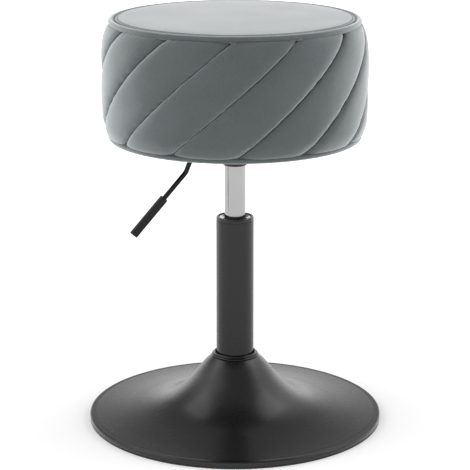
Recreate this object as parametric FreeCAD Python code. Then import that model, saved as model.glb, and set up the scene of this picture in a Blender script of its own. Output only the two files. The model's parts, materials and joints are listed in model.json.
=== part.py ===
"""Adjustable swivel stool: trumpet base, gas-lift column, release lever and round padded seat.

Millimetres, +Z up, floor at z = 0. The column axis is Z and the lever lies along -X.
Every physical piece is one solid; identical fasteners share one node as a group of solids.
"""
import math
import os

import FreeCAD
import Part

# ---- column and lift -------------------------------------------------------------------------
TUBE_R = 25.0            # black pedestal tube, outside
TUBE_BORE = 22.5
TUBE_Z = (12.0, 275.3)
CAP_TOP_Z = 279.5
CYLINDER_R = 14.0        # gas-spring body, a standard 28 mm
CYLINDER_Z = (108.0, 371.0)
TAPER_START_Z = 349.8    # the seat hub grips the cylinder's taper from here up
TAPER_TOP_R = 13.4
ROD_R = 5.0
ROD_NECK_R = 4.2
PISTON_Z = (216.0, 228.0)
RUNNING_GAP = 0.05       # radial clearance of every running fit

# ---- base ------------------------------------------------------------------------------------
SHELL_T = 1.6
# Outside of the spun trumpet (radius, height), from the neck to the crest of the rolled rim.
SHELL_PROFILE = [(31.0, 86.6), (35.3, 82.9), (39.8, 78.3), (44.3, 73.0), (50.0, 66.0),
                 (57.0, 56.8), (66.0, 46.6), (77.0, 36.7), (90.0, 27.8), (106.0, 20.9),
                 (124.0, 16.4), (145.0, 13.2), (163.0, 11.1), (178.0, 9.8), (186.0, 9.2),
                 (190.4, 8.9), (192.6, 8.9), (195.0, 9.0)]
RIM_CENTRE = (195.0, 7.0)
RIM_R = 2.0
RIM_FOOT_Z = 2.5
SOCKET_R = 28.6
SOCKET_TOP_Z = 79.5
BRACE_Z = (3.2, 6.8)
PLATE_EDGE = 30.0        # half width of the square plate under the socket

# ---- seat ------------------------------------------------------------------------------------
BOARD_R = 157.0
BOARD_Z = (389.2, 401.2)
TOP_BOARD_Z = (501.0, 513.0)
DRUM_T = 5.0
# Outside of the padded side band (radius, height), from the bottom roll to the top roll.
BAND_PROFILE = [
    (163.4, 395.9), (168.0, 401.5), (170.8, 413.0), (172.0, 437.0), (172.4, 466.0),
    (171.9, 496.0), (170.2, 517.0), (167.2, 529.0), (162.8, 537.0),
]
BAND_T = 2.0
TOP_ROLL = (159.7, 541.0, 3.9)       # centre radius, height, half thickness
BOTTOM_ROLL = (162.0, 391.7, 3.8)

# ---- mounting pan, bolts and staples -----------------------------------------------------------
PLATE_HALF = 75.0
PLATE_T = 2.5
FLANGE_Z = 386.0
PAN_FLOOR_Z = 367.0
BOLT_XY = 58.0
HUB_R = 16.1
STAPLES = 20
STAPLE_R = 145.0

# ---- release lever -------------------------------------------------------------------------------
PIVOT = (-24.0, 377.0)               # x, z of the lever's hinge pin
PIVOT_R = 2.5
LEVER_R = 3.25
LEVER_PATH = [(-27.0, 377.0), (-52.96, 377.0), (-66.6, 342.9), (-132.6, 268.8)]   # x, z
LEVER_BENDS = [9.0, 16.0]
GRIP_ENDS = [(-95.7, 310.2), (-137.9, 262.8)]
GRIP_R = 5.75
PIN_R = 4.0

Z = FreeCAD.Vector(0, 0, 1)
ORIGIN = FreeCAD.Vector(0, 0, 0)


def vec(x, z, y=0.0):
    """A point given as (x, z), in the plane y = 0 unless told otherwise."""
    return FreeCAD.Vector(x, y, z)


def polygon_face(points):
    """Flat face in the XZ plane from a closed list of (x, z) points."""
    corners = [vec(x, z) for x, z in points]
    return Part.Face(Part.makePolygon(corners + corners[:1]))


def turned(points):
    """Solid of revolution about the column axis."""
    return polygon_face(points).revolve(ORIGIN, Z, 360)


def ring(r_in, r_out, z_low, z_high):
    """Plain hollow cylinder about the column axis."""
    return turned([(r_in, z_low), (r_out, z_low), (r_out, z_high), (r_in, z_high)])


def post(x, y, radius, z_low, z_high):
    """Upright cylinder at (x, y)."""
    return Part.makeCylinder(radius, z_high - z_low, FreeCAD.Vector(x, y, z_low), Z)


def block(x_range, y_range, z_range):
    """Box from its three ranges."""
    lows = [x_range[0], y_range[0], z_range[0]]
    sizes = [x_range[1] - lows[0], y_range[1] - lows[1], z_range[1] - lows[2]]
    return Part.makeBox(*sizes, FreeCAD.Vector(*lows))


def torus(centre_r, centre_z, radius):
    """Ring of round section about the column axis."""
    return Part.makeTorus(centre_r, radius, FreeCAD.Vector(0, 0, centre_z), Z)


def smooth_curve(points, start=None, end=None):
    """Spline through (x, z) points, with optional end directions."""
    curve = Part.BSplineCurve()
    places = [vec(x, z) for x, z in points]
    if start is None:
        curve.interpolate(places)
        return curve
    curve.interpolate(Points=places, InitialTangent=vec(*start), FinalTangent=vec(*end))
    return curve


def offset_points(curve, distance, count):
    """Points beside a curve: a positive distance lies to the right of its direction."""
    places = []
    for step in range(count + 1):
        at = curve.FirstParameter + (curve.LastParameter - curve.FirstParameter) * step / count
        along = curve.tangent(at)[0]
        here = curve.value(at)
        places.append((here.x + along.z * distance, here.z - along.x * distance))
    return places


def spun(edges):
    """Solid of revolution from the edges of a closed section."""
    return Part.Face(Part.Wire(Part.__sortEdges__(edges))).revolve(ORIGIN, Z, 360)


def straight(start, end):
    """Straight edge between two (x, z) points."""
    return Part.makeLine(vec(*start), vec(*end))


def bolt_places():
    """The four corners of the mounting plate's bolt square."""
    return [(sx * BOLT_XY, sy * BOLT_XY) for sx in (-1, 1) for sy in (-1, 1)]


def rounded_path(points, bends):
    """Wire along (x, z) points, with an arc of the given radius at each inner corner."""
    edges = []
    here = vec(*points[0])
    for corner_at, radius, after in zip(points[1:-1], bends, points[2:]):
        corner = vec(*corner_at)
        back = (here - corner).normalize()
        ahead = (vec(*after) - corner).normalize()
        half = back.getAngle(ahead) / 2.0
        reach = radius / math.tan(half)
        middle = (back + ahead).normalize()
        enter = corner + back * reach
        leave = corner + ahead * reach
        crown = corner + middle * (radius / math.sin(half) - radius)
        edges.append(Part.makeLine(here, enter))
        edges.append(Part.Arc(enter, crown, leave).toShape())
        here = leave
    edges.append(Part.makeLine(here, vec(*points[-1])))
    return Part.Wire(edges)


def shell_inner():
    """Inside line of the trumpet, as (radius, height) points from neck to rim crest."""
    outer = smooth_curve(SHELL_PROFILE, (1.0, -0.8), (1.0, 0.0))
    points = offset_points(outer, SHELL_T, 40)
    points[-1] = (RIM_CENTRE[0], RIM_CENTRE[1] + RIM_R - SHELL_T)
    return outer, points


def radius_at(points, height):
    """Radius of a falling line of points at a height."""
    for (r_a, z_a), (r_b, z_b) in zip(points, points[1:]):
        if z_b <= height <= z_a:
            return r_a + (r_b - r_a) * (z_a - height) / (z_a - z_b)
    raise ValueError("height is outside the line")


def make_base():
    """Trumpet, trim ring, floor ring, and the socket on its plate and four arms."""
    outer, inner = shell_inner()
    rim_x, rim_z = RIM_CENTRE
    inner_r = RIM_R - SHELL_T
    diagonal = math.sqrt(0.5)
    edges = [
        outer.toShape(),
        Part.Arc(vec(rim_x, rim_z + RIM_R),
                 vec(rim_x + RIM_R * diagonal, rim_z + RIM_R * diagonal),
                 vec(rim_x + RIM_R, rim_z)).toShape(),
        straight((rim_x + RIM_R, rim_z), (rim_x + RIM_R, RIM_FOOT_Z)),
        straight((rim_x + RIM_R, RIM_FOOT_Z), (rim_x + inner_r, RIM_FOOT_Z)),
        straight((rim_x + inner_r, RIM_FOOT_Z), (rim_x + inner_r, rim_z)),
        Part.Arc(vec(rim_x + inner_r, rim_z),
                 vec(rim_x + inner_r * diagonal, rim_z + inner_r * diagonal),
                 vec(rim_x, rim_z + inner_r)).toShape(),
        smooth_curve(inner).toShape(),
        straight(inner[0], SHELL_PROFILE[0]),
    ]
    shell = spun(edges)

    sleeve = turned([(26.5, SOCKET_TOP_Z), (28.6, SOCKET_TOP_Z), (28.6, 86.9), (30.2, 86.9),
                     (30.2, 88.9), (28.4, 89.5), (27.6, 90.9), (26.5, 90.9)])
    collar = sleeve.fuse(torus(30.0, 87.9, 1.3)).fuse(torus(27.4, 91.0, 0.9)).removeSplitter()

    foot_r = rim_x + inner_r
    floor_ring = turned([(191.2, 0.0), (196.3, 0.0), (196.8, 0.5), (196.8, RIM_FOOT_Z),
                         (foot_r, RIM_FOOT_Z), (foot_r, 5.2), (191.2, 5.2)])

    flange_r = radius_at(inner, SOCKET_TOP_Z)
    socket = turned([(TUBE_R, BRACE_Z[1]), (SOCKET_R, BRACE_Z[1]), (SOCKET_R, SOCKET_TOP_Z - 3.0),
                     (flange_r - 0.3, SOCKET_TOP_Z - 3.0), (flange_r, SOCKET_TOP_Z),
                     (TUBE_R, SOCKET_TOP_Z)])

    plate = block((-PLATE_EDGE, PLATE_EDGE), (-PLATE_EDGE, PLATE_EDGE), BRACE_Z)
    plate = plate.cut(post(0, 0, 12.0, *BRACE_Z))
    plate.rotate(ORIGIN, Z, 45)
    arms = []
    for index in range(4):
        arm = block((PLATE_EDGE, 195.0), (-13.0, 13.0), BRACE_Z).common(post(0, 0, 190.8, *BRACE_Z))
        arm.rotate(ORIGIN, Z, 45 + 90 * index)
        arms.append(arm)
    return {"base_shell": shell, "base_collar": collar, "floor_ring": floor_ring,
            "base_socket": socket, "socket_plate": plate, "brace_arms": Part.makeCompound(arms)}


def make_column():
    """Pedestal tube with its end plate and the sleeves that guide the gas cylinder."""
    low, high = TUBE_Z
    tube = turned([(TUBE_BORE, low), (TUBE_R, low), (TUBE_R, high - 0.5), (TUBE_R - 0.5, high),
                   (TUBE_BORE, high)])
    end_plate = ring(ROD_NECK_R + RUNNING_GAP, TUBE_BORE, low, low + 5.0)
    foot, cap = high - 57.8, CAP_TOP_Z
    trim_sleeve = turned([(20.4, foot), (TUBE_BORE, foot), (TUBE_BORE, high), (TUBE_R, high),
                          (TUBE_R, cap - 1.2), (TUBE_R - 0.3, cap - 0.4), (TUBE_R - 0.9, cap),
                          (22.9, cap), (22.3, cap - 0.5), (22.0, cap - 1.8), (20.4, cap - 1.8)])
    liner = turned([(15.6, foot), (20.4, foot), (20.4, cap - 0.9), (20.0, cap - 0.7),
                    (15.9, cap - 3.4), (15.6, cap - 3.8)])
    bore = CYLINDER_R + RUNNING_GAP
    bush = turned([(bore, foot), (15.6, foot), (15.6, cap - 6.0), (bore + 1.0, cap - 6.0),
                   (bore, cap - 7.0)])
    lower_race = ring(ROD_NECK_R + 0.4, 13.0, low + 5.0, low + 6.2)
    return {"pedestal_tube": tube, "tube_end_plate": end_plate, "trim_sleeve": trim_sleeve,
            "bush_liner": liner, "column_bush": bush, "lower_race": lower_race}


def make_bearing():
    """Thrust bearing: nine balls in a flat cage between two races."""
    ball_r = 1.98
    centre_z = TUBE_Z[0] + 6.2 + 2.0
    balls = []
    cage = ring(ROD_NECK_R + 1.6, 12.6, centre_z - 0.9, centre_z + 0.9)
    for index in range(9):
        turn = 2.0 * math.pi * index / 9
        x, y = 9.2 * math.cos(turn), 9.2 * math.sin(turn)
        balls.append(Part.makeSphere(ball_r, FreeCAD.Vector(x, y, centre_z)))
        cage = cage.cut(post(x, y, ball_r, centre_z - 2.0, centre_z + 2.0))
    return {"ball_cage": cage, "bearing_balls": Part.makeCompound(balls)}


def make_rod():
    """Piston rod, its piston and everything clipped to its foot."""
    race_z = TUBE_Z[0] + 6.2 + 4.0
    shoulder = race_z + 1.2
    groove = (9.2, 10.4)
    groove_r = ROD_NECK_R - 0.8
    rod = turned([(0, 7.0), (ROD_NECK_R - 0.6, 7.0), (ROD_NECK_R, 7.6), (ROD_NECK_R, groove[0]),
                  (groove_r, groove[0]), (groove_r, groove[1]), (ROD_NECK_R, groove[1]),
                  (ROD_NECK_R, shoulder), (ROD_R, shoulder), (ROD_R, PISTON_Z[0]),
                  (4.0, PISTON_Z[0]), (4.0, PISTON_Z[1] + 1.5), (0, PISTON_Z[1] + 1.5)])
    piston_r = 11.0 - RUNNING_GAP
    piston = turned([(4.0, PISTON_Z[0]), (piston_r, PISTON_Z[0]), (piston_r, PISTON_Z[0] + 4.0),
                     (9.8, PISTON_Z[0] + 4.0), (9.8, PISTON_Z[1] - 4.0),
                     (piston_r, PISTON_Z[1] - 4.0), (piston_r, PISTON_Z[1]), (4.0, PISTON_Z[1])])
    upper_race = ring(ROD_NECK_R, 13.0, race_z, shoulder)
    bumper = turned([(ROD_R, shoulder), (11.5, shoulder), (12.0, shoulder + 4.0),
                     (9.0, shoulder + 12.0), (ROD_R, shoulder + 12.0)])
    washer = ring(ROD_NECK_R, 9.5, groove[1], TUBE_Z[0] - 0.05)
    clip = ring(groove_r, 7.5, *groove)
    clip = clip.cut(block((0.0, 9.0), (-2.6, 2.6), (8.0, 12.0)))
    return {"piston_rod": rod, "piston": piston, "upper_race": upper_race, "bumper": bumper,
            "rod_washer": washer, "rod_clip": clip}


def make_cylinder():
    """Gas-spring body: tapered outer shell, pressure tube, gland, valve block and valve pin."""
    low, high = CYLINDER_Z
    pin_bore = PIN_R + RUNNING_GAP
    shell = turned([(9.0, low), (13.2, low), (CYLINDER_R, low + 0.8), (CYLINDER_R, TAPER_START_Z),
                    (TAPER_TOP_R, high), (pin_bore, high), (pin_bore, high - 2.5),
                    (12.0, high - 2.5), (12.5, TAPER_START_Z), (12.5, low + 1.6),
                    (9.0, low + 1.6)])
    gland = ring(ROD_R + RUNNING_GAP, 12.5, low + 1.6, low + 17.0)
    valve_low = 340.0
    pressure_tube = ring(11.0, 11.9, low + 17.0, valve_low)
    valve_body = turned([(0, valve_low), (12.0, valve_low), (12.0, high - 2.5),
                         (pin_bore, high - 2.5), (pin_bore, 346.5), (0, 346.5)])
    pin = turned([(0, 350.0), (PIN_R, 350.0), (PIN_R, 370.8), (2.8, 371.4), (2.8, 376.0),
                  (2.3, 376.5), (0, 376.5)])
    return {"gas_cylinder": shell, "cylinder_gland": gland, "pressure_tube": pressure_tube,
            "valve_body": valve_body, "valve_pin": pin}


def make_mount():
    """Pressed mounting pan, taper hub, lever bracket, hinge pin and the bolts into the board."""
    hub_top = 370.5
    fall = (CYLINDER_R - TAPER_TOP_R) / (CYLINDER_Z[1] - TAPER_START_Z)
    hub = turned([(CYLINDER_R, TAPER_START_Z), (HUB_R - 0.6, TAPER_START_Z),
                  (HUB_R, TAPER_START_Z + 0.8), (HUB_R, hub_top),
                  (CYLINDER_R - fall * (hub_top - TAPER_START_Z), hub_top)])

    flange_top = FLANGE_Z + PLATE_T
    floor_top = PAN_FLOOR_Z + PLATE_T
    pan = turned([(HUB_R, PAN_FLOOR_Z), (37.3, PAN_FLOOR_Z), (39.0, PAN_FLOOR_Z + 0.9),
                  (47.0, FLANGE_Z - 0.9), (48.7, FLANGE_Z), (60.0, FLANGE_Z),
                  (60.0, flange_top), (47.0, flange_top), (45.3, flange_top - 0.9),
                  (37.3, floor_top + 0.9), (35.6, floor_top), (HUB_R, floor_top)])
    flange = block((-PLATE_HALF, PLATE_HALF), (-PLATE_HALF, PLATE_HALF), (FLANGE_Z, flange_top))
    upright = [e for e in flange.Edges if abs(e.tangentAt(e.FirstParameter).z) > 0.9]
    flange = flange.makeFillet(12.0, upright).cut(post(0, 0, 55.0, FLANGE_Z, flange_top))
    plate = pan.fuse(flange).removeSplitter()
    plate = plate.cut(block((-60.0, -33.0), (-6.5, 6.5), (371.5, FLANGE_Z - 0.2)))

    board = turned([(0, BOARD_Z[0]), (BOARD_R - 1.0, BOARD_Z[0]), (BOARD_R, BOARD_Z[0] + 1.0),
                    (BOARD_R, BOARD_Z[1]), (0, BOARD_Z[1])])
    cloth_low = flange_top
    dust_cover = turned([(0, cloth_low), (136.2, cloth_low), (137.2, 387.5), (151.0, 387.5),
                         (151.0, 388.3), (137.9, 388.3), (137.0, BOARD_Z[0]), (0, BOARD_Z[0])])
    hem = ring(138.0, 158.8, 388.3, BOARD_Z[0])
    bolts, washers, nuts = [], [], []
    for x, y in bolt_places():
        corners = [FreeCAD.Vector(x + 5.6 * math.cos(math.radians(a)),
                                  y + 5.6 * math.sin(math.radians(a)), 380.6)
                   for a in range(0, 361, 60)]
        head = Part.Face(Part.makePolygon(corners)).extrude(FreeCAD.Vector(0, 0, 3.9))
        bolts.append(head.fuse(post(x, y, 3.0, 384.5, BOARD_Z[1] + 2.3)).removeSplitter())
        washers.append(post(x, y, 8.0, 384.5, FLANGE_Z).cut(post(x, y, 3.2, 384.0, 387.0)))
        barrel = post(x, y, 4.0, BOARD_Z[0] + 0.8, BOARD_Z[1])
        cap = post(x, y, 9.0, BOARD_Z[1], BOARD_Z[1] + 1.5)
        bore = post(x, y, 3.0, BOARD_Z[0], BOARD_Z[1] + 3.0)
        nuts.append(barrel.fuse(cap).cut(bore).removeSplitter())
        plate = plate.cut(post(x, y, 3.4, 380.0, 390.0))
        board = board.cut(post(x, y, 4.0, BOARD_Z[0] - 1.0, BOARD_Z[1] + 1.0))
        dust_cover = dust_cover.cut(post(x, y, 3.4, 386.0, 390.0))

    staples, slots = [], []
    for index in range(STAPLES):
        angle = 360.0 * (index + 0.5) / STAPLES
        crown = block((STAPLE_R - 0.6, STAPLE_R + 0.6), (-6.0, 6.0), (386.9, 387.5))
        legs = [block((STAPLE_R - 0.6, STAPLE_R + 0.6), side, (387.5, 396.0))
                for side in ((-6.0, -5.4), (5.4, 6.0))]
        staple = crown.fuse(legs).removeSplitter()
        for shape in [staple] + legs:
            shape.rotate(ORIGIN, Z, angle)
        staples.append(staple)
        slots += legs
    slots = Part.makeCompound(slots)

    px, pz = PIVOT
    bracket = block((px - 7.0, px + 7.0), (-11.7, 11.7), (floor_top, 383.0))
    bracket = bracket.cut(block((px - 8.0, px + 8.0), (-9.2, 9.2), (floor_top + 2.0, 384.0)))
    across = FreeCAD.Vector(0, 1, 0)
    bracket = bracket.cut(Part.makeCylinder(PIVOT_R, 40.0, vec(px, pz, -20.0), across))
    pin = Part.makeCylinder(PIVOT_R, 25.7, vec(px, pz, -11.7), across)
    pin = pin.fuse(Part.makeCylinder(4.0, 2.0, vec(px, pz, -13.7), across)).removeSplitter()
    return {"seat_hub": hub, "mount_plate": plate, "lever_bracket": bracket, "pivot_pin": pin,
            "plate_bolts": Part.makeCompound(bolts), "plate_washers": Part.makeCompound(washers),
            "tee_nuts": Part.makeCompound(nuts), "base_board": board.cut(slots),
            "dust_cover": dust_cover.cut(slots), "fabric_hem": hem.cut(slots),
            "staples": Part.makeCompound(staples)}


def make_seat():
    """Drum frame, foam, wadding and the sewn cover with its two rolled edges."""
    wall = ring(BOARD_R - DRUM_T, BOARD_R, BOARD_Z[1], TOP_BOARD_Z[0])
    top_board = ring(0.0, BOARD_R, *TOP_BOARD_Z)
    foam = turned([(0, TOP_BOARD_Z[1]), (BOARD_R, TOP_BOARD_Z[1]), (BOARD_R, 536.0),
                   (155.0, 539.0), (155.0, 543.2), (0, 544.6)])
    outer = smooth_curve(BAND_PROFILE)
    inner = offset_points(outer, -BAND_T, 24)
    cover = spun([outer.toShape(), straight(BAND_PROFILE[-1], inner[-1]),
                  smooth_curve(inner).toShape(), straight(inner[0], BAND_PROFILE[0])])
    low, high = inner[0][1], inner[-1][1]
    wadding = spun([smooth_curve(inner).toShape(), straight(inner[-1], (BOARD_R, high)),
                    straight((BOARD_R, high), (BOARD_R, low)),
                    straight((BOARD_R, low), inner[0])])
    top_cover = turned([(0, 544.6), (155.0, 543.2), (155.7, 543.2), (156.8, 544.9),
                        (150.0, 545.3), (0, 546.2)])
    return {"drum_wall": wall, "top_board": top_board, "seat_foam": foam,
            "side_wadding": wadding, "side_cover": cover, "top_cover": top_cover,
            "top_piping": torus(*TOP_ROLL), "bottom_piping": torus(*BOTTOM_ROLL)}


def make_lever():
    """Bent release lever, its plastic grip and the arm that presses the valve pin."""
    path = rounded_path(LEVER_PATH, LEVER_BENDS)
    start = vec(*LEVER_PATH[0])
    circle = Part.makeCircle(LEVER_R, start, FreeCAD.Vector(-1, 0, 0))
    rod = path.makePipeShell([Part.Wire(circle)], True, False)

    top, end = vec(*GRIP_ENDS[0]), vec(*GRIP_ENDS[1])
    run = end - top
    length = run.Length
    grip = Part.makeCylinder(GRIP_R, length, top, run)
    grip = grip.makeChamfer(0.7, [e for e in grip.Edges if isinstance(e.Curve, Part.Circle)])
    grip = grip.cut(rod)

    px, pz = PIVOT
    arm = block((px - 7.0, px + 5.0), (-8.8, 8.8), (pz - 4.5, pz + 4.5))
    arm = arm.fuse(block((px + 5.0, 1.5), (-5.0, 5.0), (pz - 0.45, pz + 2.55))).removeSplitter()
    across = FreeCAD.Vector(0, 1, 0)
    hole = Part.makeCylinder(PIVOT_R + RUNNING_GAP, 40.0, vec(px, pz, -20.0), across)
    arm = arm.cut(hole).cut(rod)
    return {"lever_rod": rod, "lever_grip": grip, "release_arm": arm}


def main():
    """Build every piece and write one STEP file for each."""
    os.makedirs("parts", exist_ok=True)
    pieces = {}
    for make in (make_base, make_column, make_bearing, make_rod, make_cylinder, make_mount,
                 make_seat, make_lever):
        pieces.update(make())
    for name, shape in pieces.items():
        if not shape.isValid():
            raise ValueError(name + " is not a valid shape")
        print(name, len(shape.Solids), round(shape.Volume, 1))
        shape.exportStep(os.path.join("parts", name + ".step"))


main()
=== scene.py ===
"""Looks of the adjustable swivel stool: velvet seat, chrome gas cylinder, black column and base.

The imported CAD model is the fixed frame. Lengths are metres and the floor is z = 0.
"""
import json
import logging
import math
from dataclasses import dataclass, field
from enum import Enum

import bmesh
import bpy
import numpy as np
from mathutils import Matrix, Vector, noise


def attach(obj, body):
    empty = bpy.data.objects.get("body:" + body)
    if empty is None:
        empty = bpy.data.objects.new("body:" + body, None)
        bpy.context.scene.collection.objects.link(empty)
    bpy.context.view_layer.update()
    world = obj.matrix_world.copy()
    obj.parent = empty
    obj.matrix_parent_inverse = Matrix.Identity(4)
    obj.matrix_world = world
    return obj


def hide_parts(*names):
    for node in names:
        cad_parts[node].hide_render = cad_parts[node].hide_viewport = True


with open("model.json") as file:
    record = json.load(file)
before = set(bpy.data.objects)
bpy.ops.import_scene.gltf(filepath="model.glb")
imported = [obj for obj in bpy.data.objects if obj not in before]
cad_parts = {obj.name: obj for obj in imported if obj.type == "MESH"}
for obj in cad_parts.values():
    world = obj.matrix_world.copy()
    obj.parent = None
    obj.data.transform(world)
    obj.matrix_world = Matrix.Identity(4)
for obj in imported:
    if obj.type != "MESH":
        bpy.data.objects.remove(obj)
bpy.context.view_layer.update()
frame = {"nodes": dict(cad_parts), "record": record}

LOG = logging.getLogger("stool")
MM = 0.001
# Painted shade: the velvet's colour darkens beside each seam over this share of a channel.
SEAM_SHADE = 0.042                   # share of a channel, beside its seam, that lies in shade
TAU = 2.0 * math.pi
Point = tuple[float, float]
Colour = tuple[float, float, float]


class Body(Enum):
    """The moving groups a piece can ride on."""

    BASE = "base"
    SEAT = "seat"


class Slot(Enum):
    """The record's finishes, by name."""

    BLACK_COAT = "black_coat"
    LEVER_COAT = "lever_coat"
    COLLAR = "collar_plastic"
    GRIP = "grip_plastic"
    NYLON = "black_nylon"
    WHITE_NYLON = "white_nylon"
    RUBBER = "black_rubber"
    STEEL = "bare_steel"
    ZINC = "zinc_steel"
    CHROME = "chrome"
    PLYWOOD = "plywood"
    NONWOVEN = "nonwoven"
    VELVET = "velvet"
    FOAM = "foam"
    WADDING = "wadding"


# ---- meshes ----


def new_object(name: str, verts: np.ndarray, faces: list, smooth: bool = True) -> bpy.types.Object:
    """Mesh object at the origin from points in metres.

    Args:
        name: Name of the object and its mesh.
        verts: Array of points, one row each.
        faces: Lists of point numbers, outside anticlockwise.
        smooth: Whether faces are shaded smooth.

    Returns:
        The new object, linked to the scene.
    """
    mesh = bpy.data.meshes.new(name)
    mesh.from_pydata([tuple(map(float, v)) for v in verts], [], faces)
    mesh.update()
    mesh.polygons.foreach_set("use_smooth", [smooth] * len(mesh.polygons))
    obj = bpy.data.objects.new(name, mesh)
    bpy.context.scene.collection.objects.link(obj)
    return obj


def smooth_line(points: list[Point], steps: int) -> np.ndarray:
    """Catmull-Rom curve through 2-D points.

    Args:
        points: Control points, passed through in order.
        steps: Pieces between each two of them.

    Returns:
        Array of (a, b) rows.
    """
    given = np.array(points, float)
    padded = np.vstack([2 * given[0] - given[1], given, 2 * given[-1] - given[-2]])
    rows = []
    for p0, p1, p2, p3 in zip(padded, padded[1:], padded[2:], padded[3:]):
        for t in np.linspace(0.0, 1.0, steps, endpoint=False):
            rows.append(0.5 * (2 * p1 + (p2 - p0) * t + (2 * p0 - 5 * p1 + 4 * p2 - p3) * t ** 2
                               + (3 * p1 - p0 - 3 * p2 + p3) * t ** 3))
    rows.append(given[-1])
    return np.array(rows)


def ring_faces(around: int, along: int, closed: bool) -> list[list[int]]:
    """Quads of a grid that closes on itself round the axis.

    Args:
        around: Points round the axis.
        along: Points in each section.
        closed: Whether each section is a closed loop too.

    Returns:
        Faces that point outwards for sections given anticlockwise seen from the right.
    """
    faces = []
    for i in range(around):
        here, there = i * along, (i + 1) % around * along
        for j in range(along if closed else along - 1):
            k = (j + 1) % along
            faces.append([here + j, there + j, there + k, here + k])
    return faces


def lathe(name: str, section: np.ndarray, segments: int) -> bpy.types.Object:
    """Solid of revolution from a closed (radius, height) section in millimetres.

    Args:
        name: Name of the object.
        section: Closed loop of (radius, height) rows, without the first repeated.
        segments: Divisions round the axis.

    Returns:
        The new object, with its faces outwards.
    """
    angles = np.arange(segments) * TAU / segments
    r, z = section[:, 0] * MM, section[:, 1] * MM
    verts = np.stack([np.outer(np.cos(angles), r), np.outer(np.sin(angles), r),
                      np.tile(z, (segments, 1))], axis=-1).reshape(-1, 3)
    obj = new_object(name, verts, ring_faces(segments, len(section), True))
    tidy_normals(obj)
    return obj


def tidy_normals(obj: bpy.types.Object, merge: float = 1e-6) -> None:
    """Merge doubled points and turn every face outwards.

    Args:
        obj: Mesh object to mend.
        merge: Distance under which points are joined, in metres.
    """
    work = bmesh.new()
    work.from_mesh(obj.data)
    bmesh.ops.remove_doubles(work, verts=work.verts, dist=merge)
    bmesh.ops.dissolve_degenerate(work, edges=work.edges, dist=merge)
    bmesh.ops.recalc_face_normals(work, faces=work.faces)
    work.to_mesh(obj.data)
    work.free()
    obj.data.update()


def move_points(obj: bpy.types.Object, shift: np.ndarray) -> None:
    """Add one shift per point to a mesh."""
    mesh = obj.data
    co = np.empty(len(mesh.vertices) * 3)
    mesh.vertices.foreach_get("co", co)
    mesh.vertices.foreach_set("co", (co.reshape(-1, 3) + shift).ravel())
    mesh.update()


def points_of(obj: bpy.types.Object) -> tuple[np.ndarray, np.ndarray]:
    """Places and outward normals of a mesh's points."""
    mesh = obj.data
    co, normal = np.empty(len(mesh.vertices) * 3), np.empty(len(mesh.vertices) * 3)
    mesh.vertices.foreach_get("co", co)
    mesh.vertex_normals.foreach_get("vector", normal)
    return co.reshape(-1, 3), normal.reshape(-1, 3)


def radii_of(places: np.ndarray) -> np.ndarray:
    """Distances of points from the column axis, in millimetres."""
    return np.hypot(places[:, 0], places[:, 1]) / MM


def add_attribute(obj: bpy.types.Object, name: str, values: np.ndarray) -> None:
    """Store one number per point under a name."""
    layer = obj.data.attributes.new(name, "FLOAT", "POINT")
    layer.data.foreach_set("value", values.astype(np.float32).ravel())


def read_attribute(obj: bpy.types.Object, name: str) -> np.ndarray:
    """Read the numbers stored under a name."""
    values = np.empty(len(obj.data.vertices))
    obj.data.attributes[name].data.foreach_get("value", values)
    return values


def thicken(obj: bpy.types.Object, thickness: float) -> None:
    """Give a cloth its thickness in metres, half on each side."""
    wall = obj.modifiers.new("thickness", "SOLIDIFY")
    wall.thickness = thickness
    wall.offset = 0.0


def from_bmesh(name: str, work: bmesh.types.BMesh) -> bpy.types.Object:
    """Turn a worked mesh into an object, and free it."""
    mesh = bpy.data.meshes.new(name)
    work.to_mesh(mesh)
    work.free()
    obj = bpy.data.objects.new(name, mesh)
    bpy.context.scene.collection.objects.link(obj)
    return obj


def polyline(name: str, strands: list[np.ndarray], closed: bool) -> bpy.types.Object:
    """Mesh of bare edges along each strand of points.

    Args:
        name: Name of the object.
        strands: Arrays of points in metres.
        closed: Whether each strand joins its own start.

    Returns:
        The new object.
    """
    edges, start = [], 0
    for strand in strands:
        count = len(strand)
        edges += [(start + i, start + i + 1) for i in range(count - 1)]
        if closed:
            edges.append((start + count - 1, start))
        start += count
    mesh = bpy.data.meshes.new(name)
    mesh.from_pydata([tuple(map(float, p)) for s in strands for p in s], edges, [])
    obj = bpy.data.objects.new(name, mesh)
    bpy.context.scene.collection.objects.link(obj)
    return obj


def in_fixed_order(obj: bpy.types.Object) -> bpy.types.Object:
    """Number a mesh's points and faces by their places, because a bevel numbers them by chance.

    Args:
        obj: Mesh object with no two points in one place.

    Returns:
        The same object, with the same shape.
    """
    mesh = obj.data
    places = [tuple(vertex.co) for vertex in mesh.vertices]
    order = sorted(range(len(places)), key=lambda i: [round(c / MM, 3) + 0.0 for c in places[i]])
    rank = {old: new for new, old in enumerate(order)}
    faces = []
    for polygon in mesh.polygons:
        loop = [rank[i] for i in polygon.vertices]
        start = loop.index(min(loop))
        faces.append(loop[start:] + loop[:start])
    mesh.clear_geometry()
    mesh.from_pydata([places[i] for i in order], [], sorted(faces))
    mesh.update()
    return obj


def polar(radius: float, angle: float, height: float) -> tuple[float, float, float]:
    """A point at a radius, angle and height about the column axis."""
    return radius * math.cos(angle), radius * math.sin(angle), height


def circle_points(radius: float, height: float, count: int = 180) -> np.ndarray:
    """Points round the column axis, from sizes in millimetres."""
    angle = np.arange(count) * TAU / count
    return np.stack([np.cos(angle) * radius, np.sin(angle) * radius,
                     np.full(count, height)], axis=-1) * MM


# ---- materials ----


def set_stops(ramp: bpy.types.Node, stops: list[tuple]) -> None:
    """Set a colour ramp's stops from (position, colour or grey) pairs in order."""
    marks = ramp.color_ramp.elements
    while len(marks) < len(stops):
        marks.new(0.5)
    for mark, (at, tone) in zip(marks, stops):
        mark.position = at
        mark.color = (*(tone if isinstance(tone, tuple) else (tone,) * 3), 1.0)


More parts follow.
